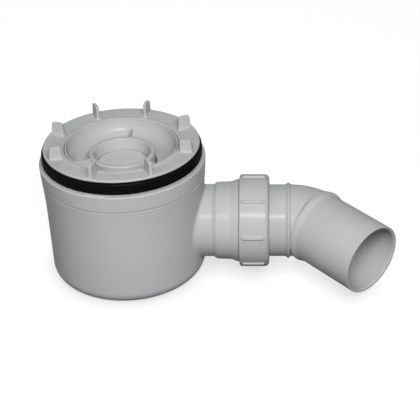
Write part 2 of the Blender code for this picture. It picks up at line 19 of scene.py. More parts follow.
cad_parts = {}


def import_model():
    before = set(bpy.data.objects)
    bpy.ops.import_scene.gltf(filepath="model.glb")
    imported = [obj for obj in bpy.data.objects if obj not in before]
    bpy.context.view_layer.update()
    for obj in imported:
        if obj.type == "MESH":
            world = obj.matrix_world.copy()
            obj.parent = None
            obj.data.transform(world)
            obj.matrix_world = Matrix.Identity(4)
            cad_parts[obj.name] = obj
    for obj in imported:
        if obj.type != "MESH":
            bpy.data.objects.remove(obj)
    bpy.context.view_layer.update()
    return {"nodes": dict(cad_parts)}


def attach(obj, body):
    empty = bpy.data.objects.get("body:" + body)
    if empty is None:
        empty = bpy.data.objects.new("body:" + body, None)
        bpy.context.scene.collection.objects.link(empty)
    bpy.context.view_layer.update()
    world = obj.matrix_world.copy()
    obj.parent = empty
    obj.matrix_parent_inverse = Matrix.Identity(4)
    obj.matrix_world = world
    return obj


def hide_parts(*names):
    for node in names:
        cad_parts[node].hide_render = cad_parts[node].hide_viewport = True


LOG = logging.getLogger("shower_trap")
# Side of the photograph in pixels
IMAGE_SIDE = 420
# Metres in a millimetre
MM = 0.001
# Air between neighbouring pieces in millimetres
GAP = 0.3
# Runs shorter than this are left out, and a run has a point this close to each end, in millimetres
SHORTEST_RUN = 1e-9
END_MARGIN = 0.25
# Corners flatter than this aren't rounded, and a rounding takes at most this share of a side
FLAT_CORNER = math.radians(88.0)
ROUNDING_SHARE = 0.49
# Points closer than this many metres are one, and edges sharper than this angle stay sharp
MERGE_DISTANCE = 1e-7
SHARP_ANGLE = math.radians(50.0)
# Depth in metres of a bump of height 1
RELIEF_DEPTH = 0.00003

Corner = tuple[float, float, float]
Tree = bpy.types.NodeTree
Node = bpy.types.Node
Socket = bpy.types.NodeSocket
Inputs = dict[str | int, Any]
Material = bpy.types.Material
Piece = bpy.types.Object


class Body(Enum):
    """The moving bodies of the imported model."""

    TRAP = "trap_body"
    FLANGE = "flange"
    FUNNEL = "funnel"
    NUT = "nut"
    ELBOW = "elbow"


class Slot(Enum):
    """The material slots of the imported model."""

    CUP = "cup_plastic"
    FLANGE = "flange_plastic"
    PIPE = "pipe_plastic"
    WASHER = "washer_plastic"
    RUBBER = "rubber"


@dataclass(frozen=True)
class Grid:
    """Points of one surface in millimetres, with shape (rows, columns, 3).

    Rows follow the profile and columns go round. The last column joins the first, and so does the last row
    where rows are wrapped.
    """

    points: np.ndarray
    wrap_rows: bool


def smooth_step(values: np.ndarray) -> np.ndarray:
    """Cubic step 3t^2 - 2t^3 of values held between 0 and 1."""
    held = np.clip(values, 0.0, 1.0)
    return held * held * (3.0 - 2.0 * held)


def straight(start: np.ndarray, end: np.ndarray, step: float) -> np.ndarray:
    """Points of a straight run, without its end.

    They are a step apart, with one more close to each end so that a rounding beside the run shades cleanly:
    start + (end - start) m / length for each distance m along the run.

    Args:
        start: First point.
        end: Last point, which is left out.
        step: Largest distance between points.

    Returns:
        Array of points, one per row.
    """
    length = float(np.linalg.norm(end - start))
    if length < SHORTEST_RUN:
        return start[None, :]
    marks = np.linspace(0.0, length, max(2, math.ceil(length / step) + 1))
    near = min(END_MARGIN, length / 4)
    marks = np.unique(np.concatenate([marks, [near, length - near]]))[:-1]
    return start + (end - start) * marks[:, None] / length


def rounded(corners: Sequence[Corner], closed: bool = True, step: float = 1.2, steps: int = 6) -> np.ndarray:
    """Profile with rounded corners.

    Each corner becomes the arc of its radius that touches both its sides: the arc's centre lies on the
    corner's bisector at radius / sin(half angle), and its ends lie radius / tan(half angle) from the corner.

    Args:
        corners: (x, y, radius) of each corner.
        closed: Whether the last corner joins the first.
        step: Largest distance between points of the straight runs.
        steps: Number of parts of each arc.

    Returns:
        Array of points with shape (count, 2).
    """
    data = np.array(corners, float)
    places, radii = data[:, :2], data[:, 2]
    count = len(places)
    arcs = []
    for i, (place, radius) in enumerate(zip(places, radii)):
        if radius <= 0.0 or (not closed and i in (0, count - 1)):
            arcs.append(place[None, :])
            continue
        before, after = places[i - 1] - place, places[(i + 1) % count] - place
        reach = min(np.linalg.norm(before), np.linalg.norm(after)) * ROUNDING_SHARE
        a, b = before / np.linalg.norm(before), after / np.linalg.norm(after)
        half = math.acos(float(np.clip(a @ b, -1.0, 1.0))) / 2
        if half > FLAT_CORNER:
            arcs.append(place[None, :])
            continue
        size = min(radius, reach * math.tan(half))
        centre = place + (a + b) / np.linalg.norm(a + b) * size / math.sin(half)
        ends = [place + v * size / math.tan(half) - centre for v in (a, b)]
        start = math.atan2(ends[0][1], ends[0][0])
        sweep = (math.atan2(ends[1][1], ends[1][0]) - start + math.pi) % math.tau - math.pi
        angles = start + sweep * np.linspace(0.0, 1.0, steps + 1)
        arcs.append(centre + size * np.column_stack([np.cos(angles), np.sin(angles)]))
    runs = []
    for i, arc in enumerate(arcs):
        runs.append(arc[:-1])
        if i < count - 1 or closed:
            runs.append(straight(arc[-1], arcs[(i + 1) % count][0], step))
        else:
            runs.append(arc[-1:])
    return np.concatenate(runs)


def sharp(points: np.ndarray) -> list[Corner]:
    """Corners without a rounding at points (x, y)."""
    return [(float(x), float(y), 0.0) for x, y in points]


def around(columns: int) -> np.ndarray:
    """Angles of a full turn in equal parts."""
    return np.arange(columns) * math.tau / columns


def turned(profile: np.ndarray, angles: np.ndarray, closed: bool = True) -> Grid:
    """Surface of revolution about Z: (r cos a, r sin a, z) for each profile point (r, z) and angle a.

    Args:
        profile: Points (radius, height), one per row.
        angles: Angle of each column, in radians.
        closed: Whether the profile's last point joins its first.

    Returns:
        The surface.
    """
    radius, height = profile[:, :1], profile[:, 1:]
    flat = np.stack([radius * np.cos(angles), radius * np.sin(angles), height + 0.0 * angles], axis=-1)
    return Grid(flat, closed)


def laid_over(grid: Grid, height: float) -> Grid:
    """The same surface with its Z axis laid along +X at a height: (x, y, z) becomes (z, y, height - x)."""
    x, y, z = np.moveaxis(grid.points, -1, 0)
    return Grid(np.stack([z, y, height - x], axis=-1), grid.wrap_rows)


def window(values: np.ndarray, half: float, edge: float) -> np.ndarray:
    """1 within half of zero, falling smoothly to 0 over the edge outside it."""
    return 1.0 - smooth_step((np.abs(values) - half) / edge)


def plate(
    outline: np.ndarray, thickness: float, edge: float, turn: float, root: float, fillet: float
) -> Grid:
    """Upright plate in a radial plane with rounded rims and a fillet along its foot.

    The outline C(s) shrinks towards its middle by edge (1 - sin b) while it moves out to thickness / 2 -
    edge (1 - cos b) on both sides, which rounds the rim. Below the fillet's height h over the root, the plate
    is widened by f - sqrt(f^2 - (f - h)^2).

    Args:
        outline: Closed (radius, height) points.
        thickness: Thickness of the plate.
        edge: Radius of its rims.
        turn: Angle of its plane about Z, in radians.
        root: Height of the surface that it stands on.
        fillet: Radius of the fillet at its foot.

    Returns:
        One closed surface.
    """
    middle = outline.mean(axis=0)
    span = np.linalg.norm(outline - middle, axis=1, keepdims=True)
    rim = np.linspace(0.0, math.pi / 2, 5)
    shares = [0.0, 0.35, 0.7] + [1.0] * len(rim)
    insets = [edge] * 3 + list(edge * (1 - np.sin(rim)))
    sides = [thickness / 2] * 3 + list(thickness / 2 - edge * (1 - np.cos(rim)))
    rings, offsets = [], []
    for share, inset, side in zip(shares, insets, sides):
        rings.append(middle + (outline - middle) * (1 - inset / span) * share)
        offsets.append(side)
    rings, offsets = rings + rings[::-1], offsets + [-v for v in offsets[::-1]]
    flat = np.array(rings)
    side = np.array(offsets)[:, None] + 0.0 * flat[..., 0]
    rise = np.clip(flat[..., 1] - root, 0.0, fillet)
    wide = fillet - np.sqrt(np.maximum(fillet**2 - (fillet - rise) ** 2, 0.0)) if fillet > 0 else 0.0 * rise
    side = side + np.sign(side) * wide * (np.abs(side) / (thickness / 2))
    out = flat[..., 0] - middle[0]
    radius = flat[..., 0] + wide * np.clip(out / np.abs(outline[:, 0] - middle[0]).max(), -1.0, 1.0)
    x = radius * math.cos(turn) - side * math.sin(turn)
    y = radius * math.sin(turn) + side * math.cos(turn)
    return Grid(np.stack([x, y, flat[..., 1]], axis=-1), False)


def make_piece(name: str, grids: Sequence[Grid]) -> Piece:
    """Puts surfaces into one smooth mesh with a UV map.

    Each cell of a grid is a quad of the four neighbours (i, j), (i + 1, j), (i + 1, j + 1), (i, j + 1). The
    map's u is the share of the way round and its v the way along the profile in metres.

    Args:
        name: Name of the piece.
        grids: Its surfaces, in millimetres.

    Returns:
        The object, at the origin.
    """
    points, faces, maps, first = [], [], [], 0
    for grid in grids:
        rows, columns = grid.points.shape[:2]
        i = np.arange(rows if grid.wrap_rows else rows - 1)[:, None]
        j = np.arange(columns)[None, :]
        i2, j2 = (i + 1) % rows, (j + 1) % columns
        cell = np.stack([a * columns + b for a, b in ((i, j), (i2, j), (i2, j2), (i, j2))], axis=-1)
        faces.append(cell.reshape(-1, 4) + first)
        gone = np.linalg.norm(np.roll(grid.points, -1, axis=0) - grid.points, axis=-1).mean(axis=1)
        along = np.concatenate([[0.0], np.cumsum(gone)]) * MM
        left, low, high = j + 0 * i, along[i + 0 * j], along[i + 1 + 0 * j]
        u = np.stack([left, left, left + 1, left + 1], axis=-1) / columns
        v = np.stack([low, high, high, low], axis=-1)
        maps.append(np.stack([u, v], axis=-1).reshape(-1, 2))
        points.append(grid.points.reshape(-1, 3) * MM)
        first += rows * columns
    mesh = bpy.data.meshes.new(name)
    mesh.from_pydata(np.concatenate(points).tolist(), [], np.concatenate(faces).tolist())
    mesh.uv_layers.new(name="surface").data.foreach_set("uv", np.concatenate(maps).ravel())
    tidy = bmesh.new()
    tidy.from_mesh(mesh)
    bmesh.ops.remove_doubles(tidy, verts=tidy.verts, dist=MERGE_DISTANCE)
    bmesh.ops.recalc_face_normals(tidy, faces=tidy.faces)
    tidy.to_mesh(mesh)
    tidy.free()
    mesh.shade_smooth()
    mesh.set_sharp_from_angle(angle=SHARP_ANGLE)
    piece = bpy.data.objects.new(name, mesh)
    bpy.context.scene.collection.objects.link(piece)
    return piece


def mount(piece: Piece, finish: Material, body: Body, slot: Slot, *nodes: str) -> Piece:
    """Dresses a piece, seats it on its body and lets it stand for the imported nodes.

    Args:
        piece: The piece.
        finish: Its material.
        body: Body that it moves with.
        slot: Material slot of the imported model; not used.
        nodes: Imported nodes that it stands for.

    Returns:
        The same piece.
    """
    piece.data.materials.append(finish)
    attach(piece, body.value)
    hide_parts(*nodes)
    return piece


def grey(level: float) -> tuple[float, float, float, float]:
    """Grey of a level between 0 and 1, as a shader's colour."""
    return level, level, level, 1.0


class Graph:
    """Short ways to add and join shader nodes in one tree."""

    def __init__(self, tree: Tree) -> None:
        """Takes the tree that the nodes go into."""
        self.tree = tree

    def feed(self, node: Node, inputs: Inputs) -> None:
        """Links sockets into the inputs of a node, or sets the inputs to plain values.

        Args:
            node: The node.
            inputs: Sockets and plain values by the name or number of the input.
        """
        for key, value in inputs.items():
            if isinstance(value, bpy.types.NodeSocket):
                self.tree.links.new(value, node.inputs[key])
            else:
                node.inputs[key].default_value = value

    def node(self, kind: str, inputs: Inputs | None = None, **options: Any) -> Node:
        """Adds a node with its options and feeds its inputs.

        Args:
            kind: Kind of the node.
            inputs: Sockets and plain values by the name or number of the input.
            options: Settings of the node by their names.

        Returns:
            The node.
        """
        made = self.tree.nodes.new(kind)
        for key, value in options.items():
            setattr(made, key, value)
        self.feed(made, inputs or {})
        return made

    def math(self, kind: str, a: Socket, b: Any, c: Any = 0.0) -> Socket:
        """Result of a math node on two or three values."""
        return self.node("ShaderNodeMath", {0: a, 1: b, 2: c}, operation=kind).outputs[0]

    def noise(self, vector: Socket, scale: float, detail: float, rough: float = 0.5) -> Socket:
        """Value of a noise pattern of a scale, a detail and a roughness."""
        inputs = {"Vector": vector, "Scale": scale, "Detail": detail, "Roughness": rough}
        return self.node("ShaderNodeTexNoise", inputs).outputs["Fac"]

    def span(self, value: Socket, low: float, high: float, to: tuple[float, float] = (0.0, 1.0)) -> Socket:
        """Value carried from one range into another in a straight line and held there."""
        inputs = {0: value, 1: low, 2: high, 3: to[0], 4: to[1]}
        return self.node("ShaderNodeMapRange", inputs).outputs[0]

    def blend(self, share: Socket, a: Any, b: Any) -> Socket:
        """Colour between two colours."""
        return self.node("ShaderNodeMix", {"Factor": share, 6: a, 7: b}, data_type="RGBA").outputs[2]

    def bump(self, height: Socket, strength: float) -> Socket:
        """Normal of a skin whose relief is the height times the depth of a relief of 1."""
        inputs = {"Strength": strength, "Distance": RELIEF_DEPTH, "Height": height}
        return self.node("ShaderNodeBump", inputs).outputs["Normal"]


def new_group(name: str, inputs: dict[str, float], outputs: Sequence[str]) -> tuple[Graph, Node, Node]:
    """Makes a shader node group with a vector input, named number inputs and number outputs.

    Args:
        name: Name of the group.
        inputs: Number inputs with their defaults.
        outputs: Names of the number outputs.

    Returns:
        The group's graph, its input node and its output node.
    """
    tree = bpy.data.node_groups.new(name, "ShaderNodeTree")
    tree.interface.new_socket("Vector", in_out="INPUT", socket_type="NodeSocketVector")
    for key, value in inputs.items():
        tree.interface.new_socket(key, in_out="INPUT", socket_type="NodeSocketFloat").default_value = value
    for key in outputs:
        tree.interface.new_socket(key, in_out="OUTPUT", socket_type="NodeSocketFloat")
    graph = Graph(tree)
    return graph, graph.node("NodeGroupInput"), graph.node("NodeGroupOutput")


def moulded_skin() -> Tree:
    """Group of the skin of a moulding: fine spark-eroded grain, slow flow waves and a slight mottle.

    Height is (grain + pores) Grain + wave depth times waves Waves, each a noise between 0 and 1. Mottle is a
    noise of wide clouds, stretched to the full range from 0 to 1.

    Returns:
        The group's tree.
    """
    wave_depth = 6.0
    graph, start, end = new_group("moulded_skin", {"Grain": 1.0, "Waves": 1.0}, ("Height", "Mottle"))
    vector = start.outputs["Vector"]
    grain = graph.noise(vector, scale=2600.0, detail=2.0)
    pores = graph.noise(vector, scale=900.0, detail=3.0, rough=0.6)
    waves = graph.noise(vector, scale=120.0, detail=1.0)
    clouds = graph.noise(vector, scale=26.0, detail=4.0, rough=0.55)
    fine = graph.math("MULTIPLY", graph.math("ADD", grain, pores), start.outputs["Grain"])
    slow = graph.math("MULTIPLY", graph.math("MULTIPLY", waves, wave_depth), start.outputs["Waves"])
    graph.feed(end, {"Height": graph.math("ADD", fine, slow), "Mottle": graph.span(clouds, 0.3, 0.7)})
    return graph.tree


def handling_marks() -> Tree:
    """Group of the marks of handling: sparse hairline scuffs that break up, and dull touched patches.

    A hairline is the top of a noise that is drawn out by a stretch along one direction. Scuffs are the larger
    of two such families of hairlines times a patchy noise, and Touched is a noise of wide patches.

    Returns:
        The group's tree.
    """
    stretch = (1.0, 0.09, 0.13)
    graph, start, end = new_group("handling_marks", {"Amount": 1.0}, ("Scuffs", "Touched"))
    vector, amount = start.outputs["Vector"], start.outputs["Amount"]
    hairs = []
    for turn, scale in ((0.5, 1020.0), (2.1, 1380.0)):
        inputs = {"Vector": vector, "Rotation": (turn, 0.7 * turn, turn), "Scale": stretch}
        drawn_out = graph.node("ShaderNodeMapping", inputs).outputs["Vector"]
        hairs.append(graph.span(graph.noise(drawn_out, scale=scale, detail=2.0, rough=0.7), 0.68, 0.74))
    patches = graph.span(graph.noise(vector, scale=60.0, detail=3.0, rough=0.6), 0.52, 0.7)
    scuffs = graph.math("MULTIPLY", graph.math("MAXIMUM", *hairs), patches)
    touched = graph.span(graph.noise(vector, scale=34.0, detail=3.0, rough=0.6), 0.45, 0.75)
    marks = {"Scuffs": scuffs, "Touched": touched}
    graph.feed(end, {key: graph.math("MULTIPLY", mark, amount) for key, mark in marks.items()})
    return graph.tree


class Studio:
    """Groups shared by the finishes, built once."""

    def __init__(self) -> None:
        """Builds the shared node groups."""
        self.skin = moulded_skin()
        self.marks = handling_marks()

    def place(self, graph: Graph, tree: Tree, vector: Socket, **values: float) -> Node:
        """Adds one of the groups to a material's graph with its own values."""
        return graph.node("ShaderNodeGroup", {"Vector": vector, **values}, node_tree=tree)


def new_material(name: str) -> tuple[Material, Graph, Node, Socket]:
    """Starts a material on Object coordinates.

    Args:
        name: Name of the material.

    Returns:
        The material, its graph, its shader and the coordinates.
    """
    material = bpy.data.materials.new(name)
    material.use_nodes = True
    graph = Graph(material.node_tree)
    vector = graph.node("ShaderNodeTexCoord").outputs["Object"]
    return material, graph, graph.tree.nodes["Principled BSDF"], vector


@dataclass(frozen=True)
class PlasticFinish:
    """Satin moulded plastic with a fine grain and faint marks of handling.

    Its gloss is a coat of its own roughness. Clouds make the colour a little darker or lighter and rougher,
    touched patches are duller, and scuffs are paler, duller and cut into the skin.
    """

    name: str
    colour: tuple[float, float, float]
    roughness: float = 0.19
    grain: float = 1.0
    waves: float = 1.0
    marks: float = 1.0
    sheen: float = 0.16
    darkest: float = 0.975
    lightest: float = 1.02
    cloud_rough: float = 0.03
    touched_rough: float = 0.06
    scuff_rough: float = 0.15
    scuff_light: float = 1.22
    scuff_share: float = 0.35
    relief: float = 0.3

    def shade(self, factor: float) -> tuple[float, float, float, float]:
        """The colour made lighter or darker by a factor."""
        return (*(min(1.0, v * factor) for v in self.colour), 1.0)

    def build(self, studio: Studio) -> Material:
        """Makes the material.

        Args:
            studio: The shared groups.

        Returns:
            The finished material.
        """
        material, graph, shader, vector = new_material(self.name)
        skin = studio.place(graph, studio.skin, vector, Grain=self.grain, Waves=self.waves).outputs
        marks = studio.place(graph, studio.marks, vector, Amount=self.marks).outputs
        scuffs = marks["Scuffs"]
        base = graph.blend(skin["Mottle"], self.shade(self.darkest), self.shade(self.lightest))
        pale = graph.math("MULTIPLY", scuffs, self.scuff_share)
        worn = graph.blend(pale, base, self.shade(self.scuff_light))
        ends = (self.roughness - self.cloud_rough, self.roughness + self.cloud_rough)
        rough = graph.span(skin["Mottle"], 0.0, 1.0, ends)
        rough = graph.math("MULTIPLY_ADD", marks["Touched"], self.touched_rough, rough)
        rough = graph.math("MULTIPLY_ADD", scuffs, self.scuff_rough, rough)
        normal = graph.bump(graph.math("MULTIPLY_ADD", scuffs, -1.0, skin["Height"]), self.relief)
        graph.feed(shader, {"Base Color": worn, "Roughness": rough, "Specular IOR Level": 0.0})
        graph.feed(shader, {"Coat Weight": self.sheen, "Coat Roughness": self.roughness})
        graph.feed(shader, {"Normal": normal, "Coat Normal": normal})
        return material


@dataclass(frozen=True)
class RubberFinish:
    """Black seal rubber: a soft sheen, a faint bloom and fine lines round the ring.

    The lines are a noise of the height alone, drawn out to the scale of the lines.
    """

    name: str
    colour: tuple[float, float, float] = (0.0024, 0.0027, 0.0031)
    bloom: tuple[float, float, float] = (0.0062, 0.0068, 0.0075)
    bloom_share: float = 0.6
    smoothest: float = 0.37
    roughest: float = 0.48
    grain: float = 1.6
    waves: float = 0.6
    marks: float = 0.8
    line_scale: float = 1500.0
    line_depth: float = 1.2
    sheen: float = 0.06
    sheen_rough: float = 0.3
    relief: float = 0.6

    def build(self, studio: Studio) -> Material:
        """Makes the material.

        Args:
            studio: The shared groups.

        Returns:
            The finished material.
        """
        material, graph, shader, vector = new_material(self.name)
        skin = studio.place(graph, studio.skin, vector, Grain=self.grain, Waves=self.waves).outputs
        marks = studio.place(graph, studio.marks, vector, Amount=self.marks).outputs
        height = graph.node("ShaderNodeSeparateXYZ", {0: vector}).outputs[2]
        layers = graph.node("ShaderNodeCombineXYZ", {2: graph.math("MULTIPLY", height, self.line_scale)})
        lines = graph.noise(layers.outputs[0], scale=1.0, detail=2.0)
        cloudy = graph.math("MULTIPLY", skin["Mottle"], marks["Touched"])
        share = graph.math("MULTIPLY", cloudy, self.bloom_share)
        colour = graph.blend(share, (*self.colour, 1.0), (*self.bloom, 1.0))
        rough = graph.span(skin["Mottle"], 0.0, 1.0, (self.smoothest, self.roughest))
        normal = graph.bump(graph.math("MULTIPLY_ADD", lines, self.line_depth, skin["Height"]), self.relief)
        graph.feed(shader, {"Base Color": colour, "Roughness": rough, "Specular IOR Level": 0.0})
        graph.feed(shader, {"Coat Weight": self.sheen, "Coat Roughness": self.sheen_rough})
        graph.feed(shader, {"Normal": normal, "Coat Normal": normal})
        return material


@dataclass
class Cup:
    """The cup moulding: round wall, floor, weir, outlet stub, socket and threaded barrel."""

    base_radius: float = 54.0
    top_radius: float = 54.9
    corner: float = 9.0
    wall: float = 2.8
    floor: float = 3.0
    shoulder: float = 66.5
    flare_start: float = 50.0
    seam: float = 74.0
    band_radius: float = 56.0
    tongue_radius: float = 53.0
    tongue_top: float = 82.5
    mouth_radius: float = 51.2
    weir_face: float = 37.5
    weir_back: float = 40.0
    weir_top: float = 62.0
    axis: float = 35.35
    stub_radius: float = 25.2
    stub_bore: float = 22.6
    socket_start: float = 61.0
    socket_radius: float = 27.2
    socket_bore: float = 25.3
    spigot_stop: float = 66.7
    barrel_start: float = 78.9
    barrel_radius: float = 28.3
    barrel_end: float = 88.0
    flare_end: float = 79.1
    flare_radius: float = 28.9
    fillet: float = 2.6
    cone_length: float = 2.6
    cone_step: float = 0.3
    flare_length: float = 5.4
    flare_lip: float = 0.8
    mouth_wall: float = 2.3
    mouth_taper: float = 3.0
    hole_start: float = 46.0
    hole_end: float = 62.0
    hole_margin: float = 0.4

    def wall_radius(self, height: np.ndarray) -> np.ndarray:
        """Outer radius of the cup: a quarter circle at the foot, a straight draft and a flare to the seam.

        The flare adds s^2 times what the draft lacks at the seam, with s the share of the way over its
        height.

        Args:
            height: Heights above the floor.

        Returns:
            Radii at these heights.
        """
        draft = (self.top_radius - self.base_radius) / self.shoulder
        low = np.clip(self.corner - height, 0.0, self.corner)
        flare = np.clip((height - self.flare_start) / (self.seam - self.flare_start), 0.0, 1.0) ** 2
        lack = self.band_radius - self.base_radius - draft * self.seam
        drafted = self.base_radius + draft * height - self.corner
        return drafted + np.sqrt(self.corner**2 - low**2) + flare * lack

    def shell(self) -> Grid:
        """Outside and inside of the cup as one turned profile, up over the tongue and down again.

        Returns:
            The surface.
        """
        inner = self.base_radius - self.wall
        flare = np.linspace(self.flare_start - 4.0, self.seam - 0.6, 22)
        corners = [(0.0, 0.0, 0.0), (self.base_radius, 0.0, self.corner)]
        corners += sharp(np.column_stack([self.wall_radius(flare), flare]))
        corners += [
            (self.band_radius, self.seam, 0.35),
            (self.tongue_radius, self.seam, 0.2),
            (self.tongue_radius, self.tongue_top, 0.4),
            (self.mouth_radius, self.tongue_top, 0.4),
            (self.mouth_radius, self.seam - self.wall, 1.5),
            (self.top_radius - self.wall, self.shoulder, 3.0),
            (inner, self.floor, self.corner - self.floor),
            (0.0, self.floor, 0.0),
        ]
        profile = rounded(corners, closed=False, step=1.6, steps=8)
        profile[0, 0] = profile[-1, 0] = 0.0
        return turned(profile, around(192), closed=False)

    def outlet(self) -> Grid:
        """Stub, socket and barrel as one tube whose first rows are a fillet on the cup's wall.

        For each angle the fillet is the curve (1 - t)^2 A + 2 t (1 - t) B + t^2 C, with A on the wall one
        fillet outside the pipe, B where pipe and wall meet, and C on the pipe one fillet out from the wall.

        Returns:
            The surface.
        """
        angles = around(144)
        across, rise = np.cos(angles), np.sin(angles)

        def on_wall(radius: float, depth: float) -> np.ndarray:
            """Where a pipe of a radius meets the wall at a depth: x = sqrt(reach^2 - across^2)."""
            reach = self.wall_radius(self.axis + radius * rise) - depth
            return np.sqrt(np.maximum(reach**2 - (radius * across) ** 2, 0.0))

        wide = self.stub_radius + self.fillet
        start = np.stack([on_wall(wide, 0.02), wide + 0.0 * angles])
        bend = np.stack([on_wall(self.stub_radius, 0.0), self.stub_radius + 0.0 * angles])
        leave = bend + np.array([[self.fillet], [0.0]])
        t = np.linspace(0.0, 1.0, 9)[:, None, None]
        curve = (1 - t) ** 2 * start + 2 * t * (1 - t) * bend + t**2 * leave
        sunk = np.stack([start[0] - 1.0, start[1]])[None]
        profile = rounded(
            [
                (self.socket_start - 1.0, self.stub_radius, 0.0),
                (self.socket_start, self.stub_radius, 1.5),
                (self.socket_start + self.cone_length, self.socket_radius - self.cone_step, 1.5),
                (self.barrel_start - self.flare_length, self.socket_radius, 4.0),
                (self.barrel_start - self.flare_lip, self.flare_radius, 0.4),
                (self.flare_end, self.flare_radius, 0.3),
                (self.flare_end, self.barrel_radius, 0.0),
                (self.barrel_end, self.barrel_radius, 0.5),
                (self.barrel_end, self.socket_bore + self.mouth_wall, 0.3),
                (self.barrel_end - self.mouth_taper, self.socket_bore, 0.4),
                (self.spigot_stop, self.socket_bore, 0.4),
                (self.spigot_stop, self.stub_bore, 0.4),
                (self.socket_start - 1.0, self.stub_bore, 0.0),
            ],
            closed=False,
            step=1.0,
            steps=6,
        )
        body = np.repeat(profile[:, :, None], len(angles), axis=2)
        share = np.linspace(0.0, 1.0, 6)[1:-1, None, None]
        outer = leave + (body[0] - leave) * share
        inside = np.stack([on_wall(self.stub_bore, self.wall - 0.2), self.stub_bore + 0.0 * angles])
        inner = body[-1] + (inside - body[-1]) * np.linspace(0.0, 1.0, 8)[1:, None, None]
        rows = np.concatenate([sunk, curve, outer, body, inner])
        x, radius = rows[:, 0], rows[:, 1]
        return Grid(np.stack([x, radius * across, self.axis + radius * rise], axis=-1), True)

    def weir(self) -> Grid:
        """Wall across the cup: rectangular loops whose ends lie inside the round wall, with a rounded crest.

        At each level the half width is sqrt(reach^2 - middle^2), with reach the radius to which the ends go,
        and in the crest the thickness is times sqrt(1 - t^2), with t the share of the way up the crest.

        Returns:
            The surface.
        """
        middle, half = (self.weir_face + self.weir_back) / 2, (self.weir_back - self.weir_face) / 2
        sunk = 1.0
        upright = np.linspace(self.floor - sunk, self.weir_top - half, 24)
        levels = np.concatenate([upright, self.weir_top - half * np.array([0.5, 0.15, 0.0])])
        up_crest = ((levels - self.weir_top + half) / half).clip(0, 1)
        thin = np.sqrt(np.clip(1 - up_crest**2, 0.0, 1.0))
        reach = self.wall_radius(levels) - self.wall + sunk
        lateral = np.sqrt(np.maximum(reach**2 - middle**2, 0.0))
        span = np.linspace(-1.0, 1.0, 24)
        y = np.concatenate([span, span[::-1]])[None, :] * lateral[:, None]
        side = np.repeat([-1.0, 1.0], len(span))[None, :] * (half * thin)[:, None]
        z = levels[:, None] + 0.0 * y
        loops = np.stack([middle + side, y, z], axis=-1)
        foot = loops[:1].mean(axis=1, keepdims=True) + 0.0 * loops[:1]
        crest = loops[-1:].mean(axis=1, keepdims=True) + 0.0 * loops[-1:]
        return Grid(np.concatenate([foot, loops, crest]), False)

    def build(self, finish: Material) -> Piece:
        """Makes the cup with a hole in its wall where the outlet's bore comes in.

        Args:
            finish: Its material.

        Returns:
            The cup.
        """
        cup = make_piece("cup_moulding", [self.shell()])
        radius, start, end = self.stub_bore + self.hole_margin, self.hole_start, self.hole_end
        profile = np.array([[0.0, start], [radius, start], [radius, end], [0.0, end]])
        cutter = make_piece("bore_cutter", [laid_over(turned(profile, around(96), closed=False), self.axis)])
        cut = cup.modifiers.new("bore", "BOOLEAN")
        cut.operation, cut.solver, cut.object = "DIFFERENCE", "EXACT", cutter
        bpy.context.view_layer.update()
        shaped = bpy.data.meshes.new_from_object(cup.evaluated_get(bpy.context.evaluated_depsgraph_get()))
        cup.modifiers.clear()
        rest = make_piece("cup_outlet", [self.outlet(), self.weir()])
        joined = bmesh.new()
        joined.from_mesh(shaped)
        joined.from_mesh(rest.data)
        joined.to_mesh(cup.data)
        joined.free()
        for item in (cutter, rest):
            bpy.data.objects.remove(item, do_unlink=True)
        cup.data.shade_smooth()
        cup.data.set_sharp_from_angle(angle=SHARP_ANGLE)
        cup.data.materials.clear()
        return mount(cup, finish, Body.TRAP, Slot.CUP, "cup")


@dataclass
class Collar:
    """The ring on the cup, with a shallow notch in its lip."""

    bore: float = 47.8
    sleeve_radius: float = 50.6
    sleeve_base: float = 68.3
    groove_radius: float = 53.3
    groove_top: float = 82.8
    base: float = 74.5
    top: float = 85.95
    base_radius: float = 56.0
    top_radius: float = 56.7
    lip_start: float = 54.8
    notch_turn: float = -101.5
    notch_width: float = 14.0
    notch_depth: float = 0.9
    notch_edge: float = 0.8
    notch_reach: float = 0.17
    lip_edge: float = 0.3
    lip_depth: float = 1.5

    def surface(self) -> Grid:
        """Turned profile whose lip has a notch.

        The lip's points are held below top - depth times the window across the notch times the step at which
        the lip starts. More columns stand close together there, as far as the notch reaches in radians.

        Returns:
            The surface.
        """
        profile = rounded(
            [
                (self.bore, self.top, 0.6),
                (self.bore, self.sleeve_base, 0.5),
                (self.sleeve_radius, self.sleeve_base, 0.5),
                (self.sleeve_radius, self.groove_top, 0.5),
                (self.groove_radius, self.groove_top, 0.3),
                (self.groove_radius, self.base, 0.2),
                (self.base_radius, self.base, 0.35),
                (self.top_radius, self.top, 0.8),
            ],
            step=1.2,
            steps=8,
        )
        fine = math.radians(self.notch_turn) + np.linspace(-self.notch_reach, self.notch_reach, 60)
        angles = np.unique(np.round(np.concatenate([around(180), fine % math.tau]), 6))
        grid = turned(profile, angles)
        points = grid.points
        off = (angles - math.radians(self.notch_turn) + math.pi) % math.tau - math.pi
        share = window(off * self.top_radius, self.notch_width / 2 - 0.6, self.notch_edge)
        radius = np.hypot(points[..., 0], points[..., 1])
        lip = smooth_step((radius - self.lip_start) / self.lip_edge)
        floor = self.top - self.notch_depth * share * lip
        height = points[..., 2]
        points[..., 2] = np.where(height > self.top - self.lip_depth, np.minimum(height, floor), height)
        return grid

    def build(self, finish: Material) -> Piece:
        """Makes the collar."""
        return mount(make_piece("collar_ring", [self.surface()]), finish, Body.TRAP, Slot.CUP, "collar")


